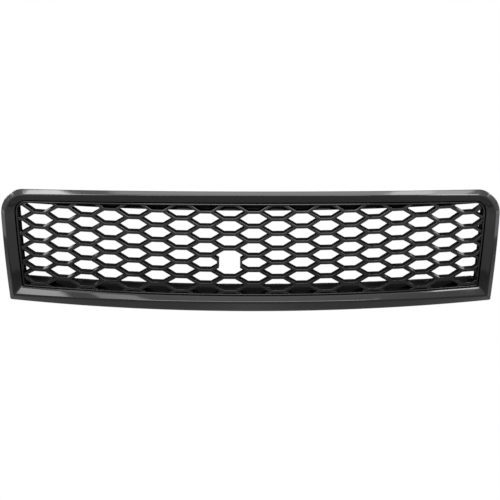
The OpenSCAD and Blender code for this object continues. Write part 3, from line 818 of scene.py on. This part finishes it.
def add_screw(moulding, x, z):
    centre = (x, face_y(x, z, 0), z)
    start = SEAT - SCREW_LENGTH
    count = int((SCREW_LENGTH - 0.002) / THREAD_PITCH * TURN_STEPS)
    rings = []
    for i in range(count + 1):
        run = i * THREAD_PITCH / TURN_STEPS
        point = min(1.0, 0.25 + 0.75 * run / SCREW_POINT)

        def thread(angle):
            turn = (run / THREAD_PITCH - angle / (2 * math.pi)) % 1
            ridge = max(0.0, 1 - 2.6 * abs(turn - 0.5))
            return (THREAD_ROOT + (THREAD_CREST - THREAD_ROOT) * ridge) * point
        rings.append(screw_ring(centre, thread, start + run))
    for radius, along in HEAD_PROFILE:
        rings.append(screw_ring(centre, lambda angle: radius, SEAT + along))
    for scale, along in ((1.0, 0.0023), (0.94, 0.0019), (0.8, 0.0012)):
        rings.append(screw_ring(centre, lambda angle: cross(angle) * scale, SEAT + along))
    moulding.wall(rings, closed=False)


black_plate = metal("black plate", (0.085, 0.085, 0.09), (0.03, 0.03, 0.032), 700.0, 3000.0,
                    0.28, 0.25, 0.00001)
for node, spots in SCREW_POSTS.items():
    screws = Moulding()
    for x, z in spots:
        add_screw(screws, x, z)
    finished(screws, node, black_plate)

# ---- The rear seals -----------------------------------------------------------------------
# Four strips of soft closed-cell foam stuck to the rear of the flange, round the window. They
# press on the air duct behind. Their corners are rounded and they are never quite even.

# Cell foam: a skin of small open cells, with darker and lighter areas. The hollows are painted
# darker too, a painted shade.
foam, nodes, links, into, out = node_group(
    "cell foam",
    [("Light", "NodeSocketColor"), ("Dark", "NodeSocketColor"), ("Cell size", "NodeSocketFloat")],
    [("Color", "NodeSocketColor"), ("Height", "NodeSocketFloat")])
place = nodes.new("ShaderNodeTexCoord")
cells = nodes.new("ShaderNodeTexVoronoi")
cells.feature = "SMOOTH_F1"
areas = nodes.new("ShaderNodeTexNoise")
areas.inputs["Scale"].default_value = 120.0
areas.inputs["Detail"].default_value = 7.0
pits_and_painted_shade = nodes.new("ShaderNodeMath")
pits_and_painted_shade.operation = "MULTIPLY"
tone = nodes.new("ShaderNodeMix")
tone.data_type = "RGBA"
links.new(place.outputs["Object"], cells.inputs["Vector"])
links.new(place.outputs["Object"], areas.inputs["Vector"])
links.new(into.outputs["Cell size"], cells.inputs["Scale"])
links.new(cells.outputs["Distance"], pits_and_painted_shade.inputs[0])
links.new(areas.outputs["Fac"], pits_and_painted_shade.inputs[1])
# The value that sinks the surface also darkens its colour: painted shade in the hollows.
links.new(pits_and_painted_shade.outputs[0], tone.inputs["Factor"])
links.new(into.outputs["Light"], tone.inputs["A"])
links.new(into.outputs["Dark"], tone.inputs["B"])
links.new(tone.outputs["Result"], out.inputs["Color"])
links.new(pits_and_painted_shade.outputs[0], out.inputs["Height"])


def foam_finish(name, light, dark, cell, relief):
    made, _, _, shader = finish_from(name, foam, relief, sunken=True, light=(*light, 1),
                                     dark=(*dark, 1), cell_size=cell)
    shader.inputs["Roughness"].default_value = 0.92
    return made


def soft_strip(line, across, half, depths, radius, uneven):
    """A strip with rounded edges that follows the face, along a line of points."""
    strip = Moulding()
    chance = random.Random(11)
    rings = []
    for number, (x, z) in enumerate(line):
        at_end = number in (0, len(line) - 1)
        inset = radius if at_end else chance.random() * uneven
        near, far = depths[0] + (radius if at_end else 0), depths[1] - inset
        ring = []
        for corner in range(4):
            for step in range(4):
                angle = math.pi / 2 * (corner + step / 3)
                u = (half - radius - inset) * (1 if corner in (0, 3) else -1)
                d = (far - radius) if corner in (0, 1) else (near + radius)
                u, d = u + radius * math.cos(angle), d + radius * math.sin(angle)
                px, pz = x + across[0] * u, z + across[1] * u
                ring.append((px, face_y(px, pz, d), pz))
        rings.append(ring)
    strip.wall(rings, closed=False)
    return strip


def points_between(start, end, count):
    """Even points from start to end, with one close to each end for the rounding."""
    steps = [0, 0.0012 / math.dist(start, end), *(i / count for i in range(1, count))]
    steps += [1 - steps[1], 1]
    return [tuple(a + (b - a) * t for a, b in zip(start, end)) for t in steps]


SEAL_HALF, SEAL_FRONT, SEAL_REAR = 0.0025, 0.0091, 0.017
SEAL_GAP, SEAL_END_GAP = 0.0012, 0.0018
SEAL_END_CUT, TOP_SEAL_CUT, LOW_SEAL_CUT = 0.001, 0.002, 0.008
seal_foam = foam_finish("seal foam", (0.040, 0.040, 0.043), (0.010, 0.010, 0.011), 1500.0,
                        0.0003)
long_seals = {
    "rear_seal_top": (WINDOW_HALF - TOP_SEAL_CUT, WINDOW_TOP + SEAL_GAP + SEAL_HALF),
    "rear_seal_bottom": (WINDOW_HALF - LOW_SEAL_CUT, -WINDOW_BOTTOM - SEAL_GAP - SEAL_HALF)}
for node, (reach, z) in long_seals.items():
    strip = soft_strip(points_between((-reach, z), (reach, z), 90), (0, 1), SEAL_HALF,
                       (SEAL_FRONT, SEAL_REAR), 0.0008, 0.0003)
    finished(strip, node, seal_foam)
for side, hand in ((-1, "left"), (1, "right")):
    x = WINDOW_HALF + SEAL_END_GAP + SEAL_HALF
    upper, lower = [(side * (x + WINDOW_SLOPE * z), z) for z in (
        WINDOW_TOP - SEAL_END_CUT, SEAL_END_CUT - WINDOW_BOTTOM)]
    strip = soft_strip(points_between(upper, lower, 18), (1, 0), SEAL_HALF,
                       (SEAL_FRONT, SEAL_REAR), 0.0008, 0.0003)
    finished(strip, f"rear_seal_{hand}", seal_foam)

# ---- The pin collars ----------------------------------------------------------------------
# A moulded rubber ring pushed over the shoulder of each locating pin. It takes up the play
# between the grille and the bumper cover, so that the ends don't rattle.

COLLAR_PROFILE = [
    (0.0051, 0.0125), (0.0052, 0.0122), (0.0055, 0.0121), (0.0066, 0.0121), (0.0069, 0.0122),
    (0.0070, 0.0125), (0.0070, 0.0134), (0.0068, 0.0136), (0.0070, 0.0138), (0.0070, 0.0147),
    (0.0069, 0.0150), (0.0066, 0.0151), (0.0055, 0.0151), (0.0052, 0.0150), (0.0051, 0.0147)]
collar_rubber = moulded_plastic(
    "moulded rubber", (0.010, 0.010, 0.0105), (0.10, 0.10, 0.10), 0.2,
    0.55, 0.2, 120.0, 2200.0, 0.6, 0.00004)
for side, hand in ((-1, "left"), (1, "right")):
    collar = Moulding()
    collar.turned((side * PIN[0], face_y(*PIN, 0), PIN[1]), "Y", COLLAR_PROFILE, hollow=True,
                  sides=56)
    finished(collar, f"pin_collar_{hand}", collar_rubber)

# ---- The bottom pads ----------------------------------------------------------------------
# Four thin adhesive pads of fine foam under the lower edge of the frame. They keep it off
# the painted bumper cover.

PAD_HALF_LENGTH, PAD_THICKNESS, PAD_FRONT, PAD_REAR = 0.030, 0.002, 0.001, 0.012
pad_foam = foam_finish("pad foam", (0.050, 0.050, 0.054), (0.022, 0.022, 0.024), 3200.0,
                       0.00015)
pad_line = grown(OUTER, 0.0001 + PAD_THICKNESS / 2)
for name, x in (("far_left", -0.240), ("left", -0.080), ("right", 0.080), ("far_right", 0.240)):
    line = [(u, bottom_z(pad_line, u)) for u, _ in points_between(
        (x - PAD_HALF_LENGTH, 0), (x + PAD_HALF_LENGTH, 0), 16)]
    strip = soft_strip(line, (0, 1), PAD_THICKNESS / 2, (PAD_FRONT, PAD_REAR), 0.0004, 0.0001)
    finished(strip, f"bottom_pad_{name}", pad_foam)

# ---- Studio: camera, floor and light ------------------------------------------------------
# A long lens a little above the grille, a flat floor well below it that the camera sees plain
# white, and big soft lights. None of this is part of the object.

CAMERA_TURN, CAMERA_RISE, CAMERA_REACH = math.radians(0.33), math.radians(14), 3.0
ahead = Vector((-math.sin(CAMERA_TURN) * math.cos(CAMERA_RISE),
                math.cos(CAMERA_TURN) * math.cos(CAMERA_RISE), -math.sin(CAMERA_RISE)))
camera_data = bpy.data.cameras.new("camera")
camera_data.lens, camera_data.sensor_width = 134.0, 36.0
camera_data.clip_end = 100
camera = bpy.data.objects.new("camera", camera_data)
camera.location = FACE_ORIGIN - ahead * CAMERA_REACH
camera.rotation_euler = ahead.to_track_quat("-Z", "Y").to_euler()
bpy.context.scene.collection.objects.link(camera)
bpy.context.scene.camera = camera


def straight_back(nodes, links, parts):
    """How far a direction or place is straight behind, less so the more it is to one side."""
    sideways = nodes.new("ShaderNodeMath")
    sideways.operation = "ABSOLUTE"
    back = nodes.new("ShaderNodeMath")
    back.operation = "MULTIPLY_ADD"
    links.new(parts.outputs["X"], sideways.inputs[0])
    links.new(sideways.outputs[0], back.inputs[0])
    back.inputs[1].default_value = -0.7
    links.new(parts.outputs["Y"], back.inputs[2])
    return back.outputs[0]


def grey_ramp(nodes, stops):
    """A colour ramp in greys. Each stop is a place between -1 and 1, and how light it is."""
    ramp = nodes.new("ShaderNodeValToRGB")
    for place, value in stops:
        stop = ramp.color_ramp.elements.new((place + 1) / 2)
        stop.color = (value, value, value, 1)
    ramp.color_ramp.elements.remove(ramp.color_ramp.elements[0])
    ramp.color_ramp.elements.remove(ramp.color_ramp.elements[-1])
    return ramp


def plain_to_camera(nodes, links, lit, plain, surface):
    """Shows the camera the plain shader, and everything else the lit one."""
    seen = nodes.new("ShaderNodeLightPath")
    shown = nodes.new("ShaderNodeMixShader")
    links.new(seen.outputs["Is Camera Ray"], shown.inputs["Fac"])
    links.new(lit.outputs[0], shown.inputs[1])
    links.new(plain.outputs[0], shown.inputs[2])
    links.new(shown.outputs[0], surface)


# The room is darker low down behind the grille and brightest overhead. The camera itself
# sees plain white, as paper.
world = bpy.data.worlds.new("studio")
bpy.context.scene.world = world
world.use_nodes = True
nodes, links = world.node_tree.nodes, world.node_tree.links
room = nodes["Background"]
direction = nodes.new("ShaderNodeTexCoord")
parts = nodes.new("ShaderNodeSeparateXYZ")
links.new(direction.outputs["Generated"], parts.inputs[0])
BRIGHTEST = 3.2
heights = {
    "behind": [(-90, 0.05), (0, 0.01), (6, 0.01), (14, 0.02), (22, 0.06), (32, 0.3), (42, 0.6),
               (55, 1.2), (75, 1.6), (90, 1.6)],
    "in front": [(-90, 0.4), (-60, 0.25), (-40, 0.3), (-16, 0.6), (0, 0.7), (22, 0.75),
                 (34, 1.0), (56, 1.2), (70, 1.5), (80, 1.7), (90, 1.6)]}
level = nodes.new("ShaderNodeMapRange")
level.inputs["From Min"].default_value = -1.0
links.new(parts.outputs["Z"], level.inputs["Value"])
fade = nodes.new("ShaderNodeMapRange")
fade.interpolation_type = "SMOOTHSTEP"
fade.inputs["From Min"].default_value = -0.25
fade.inputs["From Max"].default_value = 0.35
links.new(straight_back(nodes, links, parts), fade.inputs["Value"])
blend = nodes.new("ShaderNodeMix")
blend.data_type = "RGBA"
links.new(fade.outputs["Result"], blend.inputs["Factor"])
for label, socket in (("in front", "A"), ("behind", "B")):
    ramp = grey_ramp(nodes, [(math.sin(math.radians(rise)), value / BRIGHTEST)
                             for rise, value in heights[label]])
    links.new(level.outputs["Result"], ramp.inputs["Fac"])
    links.new(ramp.outputs["Color"], blend.inputs[socket])
links.new(blend.outputs["Result"], room.inputs["Color"])
room.inputs["Strength"].default_value = BRIGHTEST
paper = nodes.new("ShaderNodeBackground")
paper.inputs["Color"].default_value = (1, 1, 1, 1)
plain_to_camera(nodes, links, room, paper, nodes["World Output"].inputs["Surface"])
bpy.context.scene.view_settings.view_transform = "Standard"


def softbox(name, place, aim, width, height, power):
    """A soft light. Its place and aim are from the middle of the face, its power in watts."""
    lamp = bpy.data.lights.new(name, "AREA")
    lamp.shape, lamp.size, lamp.size_y = "RECTANGLE", width, height
    lamp.energy = power
    made = bpy.data.objects.new(name, lamp)
    made.location = FACE_ORIGIN + Vector(place)
    made.rotation_euler = (Vector(aim) - Vector(place)).to_track_quat("-Z", "Y").to_euler()
    bpy.context.scene.collection.objects.link(made)


softbox("overhead light", (0.1, 0.95, 1.7), (0, 0, 0), 1.4, 0.5, 4)
softbox("corner light", (-0.98, 0.66, 1.84), (-0.3, 0, 0), 0.46, 0.3, 3.9)
softbox("right overhead light", (0.80, 0.82, 1.83), (0.3, 0, 0), 0.45, 0.3, 1.9)
softbox("left light", (-1.46, -1.01, 1.22), (-0.3, 0, 0), 0.5, 0.45, 4.4)
softbox("left overhead light", (-0.90, -0.75, 1.62), (-0.3, 0, 0), 0.7, 0.4, 2.4)
softbox("front light", (0, -1.64, 1.89), (0, 0, 0), 2.0, 1.3, 54)
softbox("right crest light", (1.15, 0.12, 1.90), (0.3, 0, 0), 1.2, 0.34, 14.0)
softbox("left crest light", (-0.9, 0.15, 1.95), (-0.3, 0, 0), 0.5, 0.26, 3.0)
softbox("right light", (1.52, -0.92, 1.28), (0.3, 0, 0), 0.16, 0.3, 1.0)
for side in (-1, 1):
    softbox("end card", (side * 0.92, 2.0, 0.46), (side * 0.37, 0, 0), 0.34, 0.36, 0.34)
    softbox("side card", (side * 1.8, 0.75, -0.08), (side * 0.4, 0, 0), 1.0, 0.35, 0.9)
    softbox("rear light", (side * 1.7, 1.3, 1.0), (0, 0, 0), 0.8, 0.8, 26)

FLOOR_DROP, FLOOR_HALF = 0.5, 14.0
floor_mesh = bpy.data.meshes.new("floor")
floor_mesh.from_pydata([(x, y, FACE_ORIGIN.z - FLOOR_DROP) for x, y in (
    (-FLOOR_HALF, -FLOOR_HALF), (FLOOR_HALF, -FLOOR_HALF),
    (FLOOR_HALF, FLOOR_HALF), (-FLOOR_HALF, FLOOR_HALF))], [], [(0, 1, 2, 3)])
floor = bpy.data.objects.new("floor", floor_mesh)
bpy.context.scene.collection.objects.link(floor)
paint, nodes, links = material("white floor")
floor_mesh.materials.append(paint)
matt = nodes["Principled BSDF"]
place = nodes.new("ShaderNodeTexCoord")
parts = nodes.new("ShaderNodeSeparateXYZ")
level = nodes.new("ShaderNodeMapRange")
level.inputs["From Min"].default_value = -1.0
# Lit rays see the floor painted lighter in front and darker straight behind the grille, a painted
# shade and light for reflections. The camera sees it plain white.
shade = grey_ramp(nodes, [(-0.6, 0.22), (-0.3, 0.25), (-0.12, 0.5), (0.02, 0.5), (0.35, 0.01)])
links.new(place.outputs["Object"], parts.inputs[0])
links.new(straight_back(nodes, links, parts), level.inputs["Value"])
links.new(level.outputs["Result"], shade.inputs["Fac"])
links.new(shade.outputs["Color"], matt.inputs["Base Color"])
matt.inputs["Roughness"].default_value = 0.9
glow = nodes.new("ShaderNodeEmission")
plain_to_camera(nodes, links, matt, glow, nodes["Material Output"].inputs["Surface"])

bpy.context.view_layer.update()
